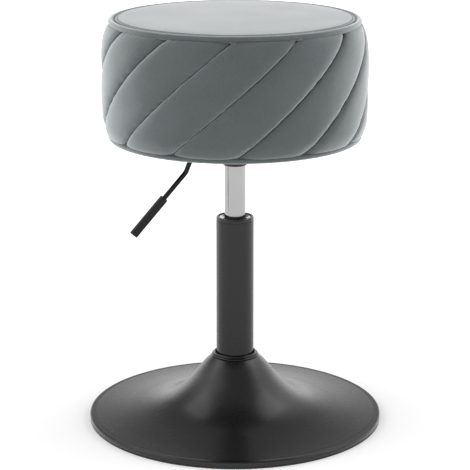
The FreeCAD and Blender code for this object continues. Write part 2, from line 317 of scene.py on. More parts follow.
class NodeBench:
    """Adds nodes to a tree."""

    def __init__(self, tree: bpy.types.NodeTree) -> None:
        """Work on a tree."""
        self.tree = tree

    def node(self, kind: str, inputs: dict | None = None, **settings) -> bpy.types.Node:
        """Add a node.

        Args:
            kind: The node's type name.
            inputs: Socket name or number to a value, or to another node's output.
            settings: Properties of the node itself.

        Returns:
            The new node.
        """
        made = self.tree.nodes.new(kind)
        for name, value in settings.items():
            setattr(made, name, value)
        for name, value in (inputs or {}).items():
            if isinstance(value, bpy.types.NodeSocket):
                self.tree.links.new(value, made.inputs[name])
            else:
                made.inputs[name].default_value = value
        return made

    def math(self, how: str, a: bpy.types.NodeSocket | float,
             b: bpy.types.NodeSocket | float = 0.0) -> bpy.types.NodeSocket:
        """Join two numbers by a named operation."""
        return self.node("ShaderNodeMath", {0: a, 1: b}, operation=how).outputs[0]

    def times(self, a: bpy.types.NodeSocket | float,
              b: bpy.types.NodeSocket | float) -> bpy.types.NodeSocket:
        """Multiply two numbers."""
        return self.math("MULTIPLY", a, b)


class Shader(NodeBench):
    """One material's node graph, ending in a Principled shader."""

    def __init__(self, name: str) -> None:
        """Start a material with only its shader and output."""
        self.material = bpy.data.materials.new(name)
        self.material.use_nodes = True
        super().__init__(self.material.node_tree)
        self.surface = self.tree.nodes["Principled BSDF"]

    def set(self, **sockets: float | tuple) -> "Shader":
        """Set the shader's own sockets, with _ for a space in each name."""
        for name, value in sockets.items():
            self.surface.inputs[name.replace("_", " ")].default_value = value
        return self

    def place(self, scale: tuple = (1.0, 1.0, 1.0)) -> bpy.types.NodeSocket:
        """Object coordinates in metres, stretched by a scale."""
        where = self.node("ShaderNodeTexCoord")
        return self.node("ShaderNodeMapping", {"Vector": where.outputs["Object"],
                                               "Scale": scale}).outputs[0]

    def noise(self, scale: float, detail: float = 2.0, stretch: tuple = (1.0, 1.0, 1.0),
              rough: float = 0.5) -> bpy.types.NodeSocket:
        """Noise between 0 and 1, with its scale in cells per metre."""
        return self.node("ShaderNodeTexNoise", {"Vector": self.place(stretch), "Scale": scale,
                                                "Detail": detail, "Roughness": rough}).outputs[0]

    def ramp(self, value: bpy.types.NodeSocket, stops: list[tuple]) -> bpy.types.NodeSocket:
        """Colour ramp over a value.

        Args:
            value: What the ramp reads.
            stops: (position, colour or grey) pairs in order.

        Returns:
            The ramp's colour output.
        """
        ramp = self.node("ShaderNodeValToRGB", {"Fac": value})
        set_stops(ramp, stops)
        return ramp.outputs["Color"]

    def range(self, value: bpy.types.NodeSocket, low: float, high: float) -> bpy.types.NodeSocket:
        """Map 0..1 to low..high."""
        return self.node("ShaderNodeMapRange", {"Value": value, "To Min": low,
                                                "To Max": high}).outputs[0]

    def colour(self, source: bpy.types.NodeSocket) -> "Shader":
        """Feed the base colour."""
        self.tree.links.new(source, self.surface.inputs["Base Color"])
        return self

    def rough(self, source: bpy.types.NodeSocket) -> "Shader":
        """Feed the roughness."""
        self.tree.links.new(source, self.surface.inputs["Roughness"])
        return self

    def bump(self, layers: list[tuple[bpy.types.NodeSocket, float]]) -> "Shader":
        """Stack bumps; each layer is a height source and its depth in metres."""
        normal = None
        for source, depth in layers:
            inputs = {"Height": source, "Distance": depth, "Strength": 1.0}
            if normal is not None:
                inputs["Normal"] = normal
            normal = self.node("ShaderNodeBump", inputs).outputs[0]
        self.tree.links.new(normal, self.surface.inputs["Normal"])
        return self


@dataclass(frozen=True)
class Coat:
    """Sprayed or powdered paint, with fine orange peel and dust."""

    name: str
    tone: Colour
    roughness: float
    peel: float = 0.000012
    glossy_rim: float = 0.0
    ior: float = 1.43

    def build(self) -> bpy.types.Material:
        """Make the material."""
        shader = Shader(self.name).set(IOR=self.ior, Metallic=0.0)
        cloudy = shader.noise(18.0, 4.0)
        dark = tuple(c * 0.92 for c in self.tone)
        pale = tuple(c * 1.1 for c in self.tone)
        shader.colour(shader.ramp(cloudy, [(0.3, dark), (0.7, pale)]))
        matt = shader.range(shader.noise(55.0, 5.0), self.roughness * 0.95,
                            self.roughness * 1.06)
        if self.glossy_rim:
            rim = shader.node("ShaderNodeAttribute", attribute_name="rim").outputs["Fac"]
            matt = shader.times(matt, shader.range(rim, 1.0, self.glossy_rim))
        shader.rough(matt)
        shader.bump([(shader.noise(900.0, 2.0), self.peel),
                     (shader.noise(3200.0, 1.0), self.peel * 0.35)])
        return shader.material


@dataclass(frozen=True)
class Metal:
    """Bare, plated or polished metal with the marks of its making."""

    name: str
    tone: Colour
    roughness: float
    streak: tuple = (1.0, 1.0, 1.0)
    depth: float = 0.000004
    blotch: float = 0.08

    def build(self) -> bpy.types.Material:
        """Make the material."""
        shader = Shader(self.name).set(Metallic=1.0)
        patches = shader.noise(26.0, 4.0)
        dark = tuple(c * (1.0 - self.blotch) for c in self.tone)
        pale = tuple(min(1.0, c * (1.0 + self.blotch)) for c in self.tone)
        shader.colour(shader.ramp(patches, [(0.3, dark), (0.7, pale)]))
        marks = shader.noise(700.0, 3.0, self.streak, 0.6)
        shader.rough(shader.range(marks, self.roughness * 0.8, self.roughness * 1.25))
        shader.bump([(marks, self.depth)])
        return shader.material


@dataclass(frozen=True)
class Plastic:
    """Moulded plastic or rubber with a fine spark texture."""

    name: str
    tone: Colour
    roughness: float
    grain: float = 0.00002
    grain_scale: float = 1500.0
    dust: float = 0.3
    ior: float = 1.48

    def build(self) -> bpy.types.Material:
        """Make the material."""
        shader = Shader(self.name).set(IOR=self.ior)
        dust = shader.noise(40.0, 6.0, rough=0.65)
        pale = tuple(c + (0.08 + c) * 0.12 * self.dust for c in self.tone)
        shader.colour(shader.ramp(dust, [(0.4, self.tone), (0.75, pale)]))
        shader.rough(shader.range(dust, self.roughness * 0.9, min(1.0, self.roughness * 1.15)))
        shader.bump([(shader.noise(self.grain_scale, 2.0), self.grain)])
        return shader.material


@dataclass(frozen=True)
class Velvet:
    """Short pile with painted sheen, its colour lighter where it is seen edge on, and painted
    shade in its seams.
    """

    name: str
    seamed: bool = False
    painted_sheen: list[tuple] = field(default_factory=lambda: [
        (0.0, (0.085, 0.098, 0.098)), (0.25, (0.104, 0.117, 0.118)), (0.6, (0.208, 0.226, 0.23)),
        (0.8, (0.275, 0.29, 0.295)), (1.0, (0.325, 0.34, 0.345))])
    glow: Colour = (0.95, 0.98, 0.985)
    sheen: float = 1.0
    sheen_roughness: float = 0.34

    def build(self) -> bpy.types.Material:
        """Make the material."""
        shader = Shader(self.name).set(
            Sheen_Weight=self.sheen, Sheen_Roughness=self.sheen_roughness,
            Sheen_Tint=(*self.glow, 1.0), Specular_IOR_Level=0.08)
        # Painted sheen: a ramp over facing lightens the base colour where the pile is seen edge
        # on.
        facing = shader.node("ShaderNodeLayerWeight", {"Blend": 0.5}).outputs["Facing"]
        brushed = shader.noise(9.0, 3.0, (1.0, 1.0, 1.6))
        pile = shader.noise(420.0, 3.0, rough=0.7)
        mixed = shader.math("ADD", shader.times(brushed, 0.55),
                            shader.times(pile, 0.45))
        shade = shader.range(mixed, 0.58, 1.42)
        # Painted seam shade: the colour darkens towards each seam, read from the across attribute.
        if self.seamed:
            across = shader.node("ShaderNodeAttribute", attribute_name="across").outputs["Fac"]
            painted_seam_shade = shader.node("ShaderNodeMapRange", {
                "Value": across, "From Max": SEAM_SHADE, "To Min": 0.25}).outputs[0]
            shade = shader.times(shade, painted_seam_shade)
        lit = shader.node("ShaderNodeVectorMath", {
            0: shader.ramp(facing, self.painted_sheen), "Scale": shade}, operation="SCALE").outputs[0]
        shader.colour(lit)
        shader.rough(shader.range(brushed, 0.86, 0.97))
        shader.bump([(shader.noise(2400.0, 2.0, rough=0.7), 0.00006),
                     (shader.noise(60.0, 3.0), 0.00010)])
        return shader.material


@dataclass(frozen=True)
class Felt:
    """Nonwoven cloth, wadding or open foam: matt, with cells or bonded spots."""

    name: str
    tone: Colour
    cells: float
    depth: float
    spotted: bool = False

    def build(self) -> bpy.types.Material:
        """Make the material."""
        shader = Shader(self.name).set(Specular_IOR_Level=0.15, Sheen_Weight=0.2,
                                       Sheen_Roughness=0.6)
        fibres = shader.noise(self.cells * 2.3, 4.0, rough=0.7)
        cells = shader.node("ShaderNodeTexVoronoi", {
            "Vector": shader.place(), "Scale": self.cells,
            "Randomness": 0.05 if self.spotted else 1.0}).outputs["Distance"]
        pits = shader.ramp(cells, [(0.12, 0.0), (0.3, 1.0)])
        dark = tuple(c * 0.7 for c in self.tone)
        pale = tuple(min(1.0, c * 1.2) for c in self.tone)
        shader.colour(shader.ramp(fibres, [(0.35, dark), (0.65, pale)]))
        shader.rough(shader.range(fibres, 0.85, 1.0))
        shader.bump([(pits, self.depth), (fibres, self.depth * 0.5)])
        return shader.material


@dataclass(frozen=True)
class Plywood:
    """Birch plywood: plies on the edge, figure on the faces."""

    name: str

    def build(self) -> bpy.types.Material:
        """Make the material."""
        shader = Shader(self.name).set(Specular_IOR_Level=0.3)
        figure = shader.noise(26.0, 5.0, (1.0, 9.0, 1.0), 0.6)
        plies = shader.node("ShaderNodeTexWave", {
            "Vector": shader.place(), "Scale": 130.0, "Distortion": 0.4,
            "Detail": 1.0}, bands_direction="Z").outputs["Fac"]
        mixed = shader.math("ADD", shader.times(figure, 0.7),
                            shader.times(plies, 0.3))
        shader.colour(shader.ramp(mixed, [(0.25, (0.36, 0.22, 0.11)), (0.55, (0.6, 0.43, 0.25)),
                                          (0.8, (0.72, 0.56, 0.36))]))
        shader.rough(shader.range(figure, 0.6, 0.8))
        shader.bump([(figure, 0.0001)])
        return shader.material


# Painted sheen and painted top light for the seat's top panel: the same velvet, lighter than on
# the sides.
TOP_PAINTED_SHEEN = [(0.0, (0.145, 0.16, 0.161)), (0.6, (0.19, 0.205, 0.208)),
               (0.8, (0.247, 0.261, 0.264)), (1.0, (0.30, 0.313, 0.317))]

FINISHES = {
    Slot.BLACK_COAT: Coat("satin black coat", (0.0075, 0.0075, 0.0077), 0.27, 0.000003),
    Slot.LEVER_COAT: Coat("gloss black coat", (0.004, 0.004, 0.0041), 0.2, 0.000004, ior=1.28),
    Slot.COLLAR: Plastic("gloss black plastic", (0.004, 0.004, 0.004), 0.1, 0.000002, 900.0, 0.1),
    Slot.GRIP: Plastic("satin black grip", (0.007, 0.007, 0.007), 0.34, 0.000015, ior=1.32),
    Slot.NYLON: Plastic("black nylon", (0.008, 0.008, 0.008), 0.42, 0.00001),
    Slot.WHITE_NYLON: Plastic("natural nylon", (0.72, 0.71, 0.66), 0.4, 0.00001),
    Slot.RUBBER: Plastic("black rubber", (0.014, 0.014, 0.014), 0.78, 0.00004, 900.0, 1.0),
    Slot.STEEL: Metal("mill steel", (0.42, 0.42, 0.43), 0.38, (1.0, 1.0, 6.0), 0.00001, 0.25),
    Slot.ZINC: Metal("zinc plate", (0.66, 0.67, 0.68), 0.28, (1.0, 1.0, 1.0), 0.000004, 0.12),
    Slot.CHROME: Metal("polished chrome", (0.375, 0.375, 0.375), 0.14, (0.04, 0.04, 3.0), 0.000001,
                       0.02),
    Slot.PLYWOOD: Plywood("birch plywood"),
    Slot.NONWOVEN: Felt("black nonwoven", (0.012, 0.012, 0.013), 480.0, 0.00012, True),
    Slot.VELVET: Velvet("grey green velvet"),
    Slot.FOAM: Felt("upholstery foam", (0.78, 0.72, 0.46), 900.0, 0.0003),
    Slot.WADDING: Felt("polyester wadding", (0.8, 0.8, 0.78), 260.0, 0.0004),
}


class Workshop:
    """Holds each finish's material and dresses pieces with it."""

    def __init__(self) -> None:
        """Build every finish once."""
        self.stock = {slot: finish.build() for slot, finish in FINISHES.items()}
        self.seamed_velvet = Velvet("seamed velvet", True).build()
        self.rim_coat = Coat("satin black coat with a glossy rim", (0.0095, 0.0095, 0.0097), 0.27,
                             0.000002, 0.4, 1.47).build()
        # Lighter copy of the velvet for the top panel, with painted sheen and painted top light.
        self.top_sheen_velvet = Velvet("velvet with painted top sheen", True, painted_sheen=TOP_PAINTED_SHEEN, sheen=0.65).build()

    def dress(self, obj: bpy.types.Object, slot: Slot, body: Body, *stands_for: str,
              material: bpy.types.Material | None = None) -> bpy.types.Object:
        """Give a new piece its finish, its body and the solids it stands for.

        Args:
            obj: Finished piece, at the origin.
            slot: Finish from the record.
            body: Body it rides on.
            stands_for: CAD nodes that it replaces.
            material: Its own version of the finish, if it has one.

        Returns:
            The same piece.
        """
        obj.data.materials.clear()
        obj.data.materials.append(material or self.stock[slot])
        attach(obj, body.value)
        if stands_for:
            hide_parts(*stands_for)
        LOG.info("%s: %d faces on %s", obj.name, len(obj.data.polygons), body.value)
        return obj

    def dress_frame(self) -> None:
        """Give every CAD node the material of its slot in the record."""
        for part in frame["record"]["subparts"]:
            node = frame["nodes"][part["node"]]
            for place in node.material_slots:
                place.material = self.stock[Slot(part["material_slot"])]


# ---- node trees for what repeats ----


class GeometryTree(NodeBench):
    """Small builder for a Geometry Nodes tree with named inputs."""

    def __init__(self, name: str, inputs: list[tuple]) -> None:
        """Start a tree.

        Args:
            name: Name of the tree.
            inputs: (name, socket type, default) for each input after the geometry.
        """
        super().__init__(bpy.data.node_groups.new(name, "GeometryNodeTree"))
        face = self.tree.interface
        face.new_socket("Geometry", in_out="INPUT", socket_type="NodeSocketGeometry")
        self.sockets = {}
        for label, kind, default in inputs:
            made = face.new_socket(label, in_out="INPUT", socket_type="NodeSocket" + kind)
            if default is not None:
                made.default_value = default
            self.sockets[label] = made.identifier
        face.new_socket("Geometry", in_out="OUTPUT", socket_type="NodeSocketGeometry")
        self.enter = self.tree.nodes.new("NodeGroupInput").outputs

    def vector(self, how: str, a: bpy.types.NodeSocket,
               b: tuple = (0.0, 0.0, 0.0)) -> bpy.types.NodeSocket:
        """Join two vectors by a named operation."""
        return self.node("ShaderNodeVectorMath", {0: a, 1: b}, operation=how).outputs[0]

    def stored(self, name: str) -> bpy.types.NodeSocket:
        """A number stored on the mesh's points."""
        return self.node("GeometryNodeInputNamedAttribute", {"Name": name},
                         data_type="FLOAT").outputs[0]

    def chance(self, seed: bpy.types.NodeSocket, low: bpy.types.NodeSocket,
               high: bpy.types.NodeSocket) -> bpy.types.NodeSocket:
        """Seeded random number for each point, between two others."""
        made = self.node("FunctionNodeRandomValue", {"Seed": seed}, data_type="FLOAT")
        ends = [socket for socket in made.inputs if socket.enabled and socket.type == "VALUE"]
        self.tree.links.new(low, ends[0])
        self.tree.links.new(high, ends[1])
        return [socket for socket in made.outputs if socket.enabled][0]

    def copies(self, points: bpy.types.NodeSocket, **how) -> "GeometryTree":
        """Put the template on each point, and finish the tree."""
        shape = self.node("GeometryNodeObjectInfo", {"Object": self.enter["Template"]})
        placed = self.node("GeometryNodeInstanceOnPoints", {
            "Points": points, "Instance": shape.outputs["Geometry"], **how})
        return self.end(placed.outputs[0])

    def end(self, shape: bpy.types.NodeSocket) -> "GeometryTree":
        """Finish the tree with Realize Instances and Set Material."""
        solid = self.node("GeometryNodeRealizeInstances", {"Geometry": shape}).outputs[0]
        painted = self.node("GeometryNodeSetMaterial", {
            "Geometry": solid, "Material": self.enter["Material"]}).outputs[0]
        leave = self.tree.nodes.new("NodeGroupOutput")
        self.tree.links.new(painted, leave.inputs[0])
        return self

    def apply(self, carrier: bpy.types.Object, name: str, **values) -> bpy.types.Object:
        """Run the tree on an object and keep the result as a plain mesh.

        Args:
            carrier: Object whose geometry enters the tree. It is removed.
            name: Name of the new piece.
            values: Input label, with _ for a space, to its value.

        Returns:
            The new object, with no modifier.
        """
        step = carrier.modifiers.new("make", "NODES")
        step.node_group = self.tree
        for label, value in values.items():
            step[self.sockets[label.replace("_", " ")]] = value
        carrier.update_tag()
        graph = bpy.context.evaluated_depsgraph_get()
        graph.update()
        mesh = bpy.data.meshes.new_from_object(carrier.evaluated_get(graph))
        mesh.name = name
        bpy.data.objects.remove(carrier)
        obj = bpy.data.objects.new(name, mesh)
        bpy.context.scene.collection.objects.link(obj)
        mesh.polygons.foreach_set("use_smooth", [True] * len(mesh.polygons))
        return obj


def round_the_axis() -> GeometryTree:
    """Tree that repeats a template on a circle about the column axis."""
    tree = GeometryTree("round_the_axis", [
        ("Count", "Int", 4), ("Radius", "Float", 0.1), ("Height", "Float", 0.0),
        ("Start", "Float", 0.0), ("Wobble", "Float", 0.0), ("Seed", "Int", 1),
        ("Template", "Object", None), ("Material", "Material", None)])
    get = tree.enter
    index = tree.node("GeometryNodeInputIndex").outputs[0]
    step = tree.math("DIVIDE", TAU, get["Count"])
    angle = tree.math("ADD", tree.times(index, step), get["Start"])
    place = tree.node("ShaderNodeCombineXYZ", {
        "X": tree.times(tree.math("COSINE", angle), get["Radius"]),
        "Y": tree.times(tree.math("SINE", angle), get["Radius"]),
        "Z": get["Height"]}).outputs[0]
    points = tree.node("GeometryNodePoints", {"Count": get["Count"], "Position": place}).outputs[0]
    wobble = tree.chance(get["Seed"], tree.times(get["Wobble"], -1.0), get["Wobble"])
    turn = tree.node("ShaderNodeCombineXYZ", {"Z": tree.math("ADD", angle, wobble)}).outputs[0]
    return tree.copies(points, Rotation=turn)


def along_a_line() -> GeometryTree:
    """Tree that repeats a template along lines, its Z away from the column axis."""
    tree = GeometryTree("along_a_line", [
        ("Pitch", "Float", 0.004), ("Size Spread", "Float", 0.1), ("Seed", "Int", 1),
        ("Template", "Object", None), ("Material", "Material", None)])
    get = tree.enter
    line = tree.node("GeometryNodeMeshToCurve", {"Mesh": get["Geometry"]}).outputs[0]
    even = tree.node("GeometryNodeResampleCurve", {
        "Curve": line, "Length": get["Pitch"]}, mode="LENGTH").outputs[0]
    along = tree.node("GeometryNodeInputTangent").outputs[0]
    here = tree.node("GeometryNodeInputPosition").outputs[0]
    outwards = tree.vector("MULTIPLY", here, (1.0, 1.0, 0.0))
    first = tree.node("FunctionNodeAlignRotationToVector", {"Vector": along}, axis="X").outputs[0]
    turn = tree.node("FunctionNodeAlignRotationToVector", {
        "Rotation": first, "Vector": outwards}, axis="Z", pivot_axis="X").outputs[0]
    size = tree.chance(get["Seed"], tree.math("SUBTRACT", 1.0, get["Size Spread"]),
                       tree.math("ADD", 1.0, get["Size Spread"]))
    return tree.copies(even, Rotation=turn, Scale=size)


def channel_padding() -> GeometryTree:
    """Tree that puffs each channel of the side band between its seams.

    The mesh stores across, 0 at a seam and 1 at the channel's crown, and along, 0 to 1 from
    the bottom edge to the top edge.
    """
    tree = GeometryTree("channel_padding", [
        ("Crown", "Float", 0.001), ("Lift", "Float", 0.0004), ("Slope", "Float", 0.0042),
        ("Slope Width", "Float", 0.15), ("Tuck", "Float", 0.0022), ("Tuck Width", "Float", 0.022),
        ("End Reach", "Float", 0.06), ("End Puff", "Float", 0.85), ("Ripple", "Float", 0.0006),
        ("Material", "Material", None)])
    get = tree.enter
    across, along = tree.stored("across"), tree.stored("along")
    away = tree.math("SUBTRACT", 1.0, across)
    pillow = tree.math("SUBTRACT", 1.0, tree.math("POWER", away, 2.0))

    def dip(width: str, depth: str) -> bpy.types.NodeSocket:
        """Depth that dies away from the seam over a width."""
        far = tree.times(tree.math("DIVIDE", across, get[width]), -1.0)
        return tree.times(tree.math("POWER", math.e, far), get[depth])

    edge = tree.math("MINIMUM", along, tree.math("SUBTRACT", 1.0, along))
    fade = tree.node("ShaderNodeMapRange", {
        "Value": edge, "From Max": get["End Reach"], "To Min": get["End Puff"]},
        interpolation_type="SMOOTHSTEP").outputs[0]
    here = tree.node("GeometryNodeInputPosition").outputs[0]
    cloud = tree.node("ShaderNodeTexNoise", {
        "Vector": tree.vector("MULTIPLY", here, (1.0, 1.0, 0.6)), "Scale": 38.0,
        "Detail": 2.0}).outputs[0]
    ripple = tree.times(tree.math("SUBTRACT", cloud, 0.5), get["Ripple"])
    puff = tree.math("ADD", tree.times(pillow, get["Crown"]), get["Lift"])
    puff = tree.math("SUBTRACT", puff, dip("Slope Width", "Slope"))
    puff = tree.math("ADD", puff, tree.times(ripple, pillow))
    rise = tree.math("SUBTRACT", tree.times(puff, fade), dip("Tuck Width", "Tuck"))
    rise = tree.times(rise, tree.stored("outer"))
    normal = tree.node("GeometryNodeInputNormal").outputs[0]
    shift = tree.node("ShaderNodeVectorMath", {0: normal, "Scale": rise},
                      operation="SCALE").outputs[0]
    raised = tree.node("GeometryNodeSetPosition", {
        "Geometry": get["Geometry"], "Offset": shift}).outputs[0]
    return tree.end(raised)


# ---- the seat ----


@dataclass
class SideBand:
    """Padded velvet band with slanting channels between sewn seams."""

    channels: int = 12
    lean: float = 0.388              # degrees round the seat for each millimetre of height
    level: float = 466.0             # height at which the seams stand at whole steps
    start: float = -15.0             # degrees from the front to the first seam, towards -X
    columns: int = 44                # points across one channel
    rows: int = 110
    inner: float = 157.3
    tug: float = 0.0009              # metres that the cloth gathers beside its seams
    pull: float = 0.0007             # metres that it gathers at its ends
    profile: list[Point] = field(default_factory=lambda: [
        (160.6, 392.4), (163.4, 393.2), (165.6, 395.2), (168.4, 401.0), (171.0, 412.0),
        (172.2, 437.0), (172.6, 466.0), (172.1, 496.0), (170.0, 517.0), (167.0, 528.6),
        (164.2, 534.6), (162.0, 536.8), (159.0, 538.0)])

    def seam_angle(self, number: float, height: float) -> float:
        """Angle of a seam from the front, in radians, at a height in millimetres."""
        step = 360.0 / self.channels
        return math.radians(number * step + self.lean * (height - self.level) + self.start)

    def across(self) -> np.ndarray:
        """Places across one channel, packed close beside its seams."""
        even = np.arange(self.columns) / self.columns
        eased = 0.5 - 0.5 * np.cos(np.pi * even)
        return 0.85 * eased + 0.15 * even

    def outline(self) -> np.ndarray:
        """Rows of (radius, height) up the band."""
        line = smooth_line(self.profile, 24)
        run = np.concatenate([[0.0], np.cumsum(np.hypot(*np.diff(line, axis=0).T))])
        even = np.linspace(0.0, run[-1], self.rows)
        return np.stack([np.interp(even, run, line[:, 0]), np.interp(even, run, line[:, 1])], 1)

    def sheet(self) -> bpy.types.Object:
        """The unpadded band as a closed ring, its points lined up with the seams."""
        line, inside = self.outline(), 6
        low, high = line[0, 1], line[-1, 1]
        back = np.stack([np.full(inside, self.inner), np.linspace(high, low, inside)], 1)
        section = np.vstack([line, back])
        places = self.across()
        verts, across, along, outer = [], [], [], []
        for channel in range(self.channels):
            for place in places:
                for number, (radius, height) in enumerate(section):
                    angle = self.seam_angle(channel + place, height)
                    verts.append((radius * math.sin(angle), -radius * math.cos(angle), height))
                    across.append(1.0 - abs(2.0 * place - 1.0))
                    along.append(min(1.0, number / (self.rows - 1)))
                    outer.append(1.0 if number < self.rows else 0.0)
        total = self.channels * self.columns
        obj = new_object("band_sheet", np.array(verts) * MM,
                         ring_faces(total, len(section), True))
        add_attribute(obj, "across", np.array(across))
        add_attribute(obj, "along", np.array(along))
        add_attribute(obj, "outer", np.array(outer))
        return obj

    def crease(self, obj: bpy.types.Object) -> None:
        """Gather the cloth a little where it is pulled into its seams and ends."""
        places, normals = points_of(obj)
        across, along, outer = (read_attribute(obj, name)
                                for name in ("across", "along", "outer"))
        shift = np.zeros(len(places))
        near_seam = np.exp(-across / 0.16) * (1.0 - np.exp(-across / 0.02))
        near_end = np.exp(-along / 0.05) + np.exp(-(1.0 - along) / 0.045)
        for i in np.nonzero(outer > 0.5)[0]:
            x, y, z = places[i]
            angle = math.degrees(math.atan2(x, -y)) - self.lean * (z / MM - self.level)
            tug = noise.noise(Vector((angle * 0.35, z * 160.0, 3.0)))
            pull = noise.noise(Vector((angle * 1.1, z * 25.0, 9.0)))
            shift[i] = self.tug * near_seam[i] * tug + self.pull * near_end[i] * pull
        move_points(obj, normals * shift[:, None])

    def seam_lines(self, sink: float) -> list[np.ndarray]:
        """Each seam as points at the bottom of its valley.

        Args:
            sink: Depth under the band's outline, in millimetres.

        Returns:
            One array of points in metres for each seam.
        """
        line = self.outline()[6:-6]
        lines = []
        for channel in range(self.channels):
            points = []
            for radius, height in line:
                angle = self.seam_angle(channel, height)
                deep = radius - sink
                points.append((deep * math.sin(angle), -deep * math.cos(angle), height))
            lines.append(np.array(points) * MM)
        return lines

    def build(self, shop: Workshop) -> bpy.types.Object:
        """Make the padded band."""
        obj = channel_padding().apply(self.sheet(), "side_cover_band",
                                      Material=shop.seamed_velvet)
        self.crease(obj)
        tidy_normals(obj)
        shop.dress(obj, Slot.VELVET, Body.SEAT, "side_cover", "side_wadding",
                   material=shop.seamed_velvet)
        return obj


@dataclass
class Roll:
    """Sewn roll of velvet round an edge of the seat."""

    name: str
    node: str
    radius: float
    height: float
    half_width: float
    half_depth: float
    seams: tuple[float, float]       # degrees up from outwards, where the roll meets its cloths
    around: int = 480
    ring: int = 32
    shade_reach: float = 2.6

    def build(self, shop: Workshop) -> bpy.types.Object:
        """Make the roll with the small unevenness of hand sewing."""
        verts, shade = [], []
        for i in range(self.around):
            angle = TAU * i / self.around
            sway = noise.noise(Vector((math.cos(angle) * 4.0, math.sin(angle) * 4.0, self.height)))
            for j in range(self.ring):
                turn = TAU * j / self.ring
                pucker = noise.noise(Vector((math.cos(angle) * 34.0, math.sin(angle) * 34.0,
                                             turn * 0.9)))
                swell = 1.0 + 0.035 * sway + 0.035 * pucker
                r = self.radius + self.half_width * swell * math.cos(turn)
                z = self.height + self.half_depth * swell * math.sin(turn)
                verts.append(polar(r, angle, z))
                # Painted shade: the roll's colour darkens near the seams where it meets its
                # cloths.
                apart = min(abs(math.remainder(turn - math.radians(seam), TAU))
                            for seam in self.seams)
                shade.append(SEAM_SHADE * min(1.0, apart * self.half_width / self.shade_reach))
        obj = new_object(self.name, np.array(verts) * MM,
                         ring_faces(self.around, self.ring, True))
        add_attribute(obj, "across", np.array(shade))
        tidy_normals(obj)
        shop.dress(obj, Slot.VELVET, Body.SEAT, self.node, material=shop.seamed_velvet)
        return obj


@dataclass
class SeatTop:
    """Round velvet panel over the foam, crowned a little and pulled down at its seam."""

    segments: int = 288
    profile: list[Point] = field(default_factory=lambda: [
        (0.0, 546.6), (50.0, 546.5), (95.0, 546.3), (125.0, 546.0), (140.0, 545.6),
        (147.5, 545.2), (150.6, 544.9), (151.6, 544.35), (152.6, 544.6), (153.8, 544.3),
        (155.0, 543.3), (155.8, 541.7), (156.2, 540.7)])
    topstitch: float = 151.6
    edge: float = 156.2
    thickness: float = 1.3

    def build(self, shop: Workshop) -> bpy.types.Object:
        """Make the panel as a thin closed skin."""
        line = smooth_line(self.profile, 8)
        line[0, 0] = 0.0
        under = line[::-1] - np.array([0.0, self.thickness])
        section = np.vstack([line, under])
        obj = lathe("top_cover_panel", section, self.segments)
        places, _ = points_of(obj)
        shift = np.zeros_like(places)
        for i, (x, y, z) in enumerate(places):
            radius = math.hypot(x, y)
            calm = min(1.0, max(0.0, (0.157 - radius) / 0.02))
            soft = noise.noise(Vector((x * 14.0, y * 14.0, 5.0)))
            edge = noise.noise(Vector((x * 70.0, y * 70.0, 8.0))) * (1.0 - calm)
            shift[i, 2] = 0.0005 * soft * calm + 0.0002 * edge
        move_points(obj, shift)
        radii = radii_of(places)
        # Painted shade: the panel's colour darkens along the topstitch and the edge seam.
        near = np.minimum(np.abs(radii - self.topstitch) / 1.1, (self.edge - radii) / 2.0)
        add_attribute(obj, "across", SEAM_SHADE * np.clip(near, 0.0, 1.0))
        shop.dress(obj, Slot.VELVET, Body.SEAT, "top_cover", material=shop.top_sheen_velvet)
        return obj


@dataclass
class Stitching:
    """Thread lying in the seams."""

    length: float = 2.5
    width: float = 0.36
    pitch: float = 3.2

    def template(self) -> bpy.types.Object:
        """One stitch: a short bowed thread along X."""
        sides, spans = 5, 4
        verts = []
        for i in range(spans + 1):
            t = i / spans
            x = (t - 0.5) * self.length
            lift = 0.35 * math.sin(math.pi * t)
            size = self.width / 2.0 * (0.55 + 0.45 * math.sin(math.pi * t))
            for j in range(sides):
                turn = TAU * j / sides
                verts.append((x, size * math.cos(turn), lift + size * math.sin(turn)))
        faces = [[i * sides + j, i * sides + (j + 1) % sides, (i + 1) * sides + (j + 1) % sides,
                  (i + 1) * sides + j] for i in range(spans) for j in range(sides)]
        faces += [list(range(sides))[::-1], [spans * sides + j for j in range(sides)]]
        obj = new_object("stitch_template", np.array(verts) * MM, faces)
        tidy_normals(obj)
        return obj

    def build(self, shop: Workshop, name: str, lines: list[np.ndarray],
              closed: bool) -> bpy.types.Object:
        """Sew along lines.

        Args:
            shop: Where the finishes are.
            name: Name of the piece.
            lines: Seam lines in metres.
            closed: Whether they close on themselves.

        Returns:
            One mesh of all the stitches.
        """
        template = self.template()
        obj = along_a_line().apply(polyline(name + "_line", lines, closed), name,
                                   Pitch=self.pitch * MM, Size_Spread=0.08, Seed=3,
                                   Template=template, Material=shop.stock[Slot.VELVET])
        bpy.data.objects.remove(template)
        return shop.dress(obj, Slot.VELVET, Body.SEAT)


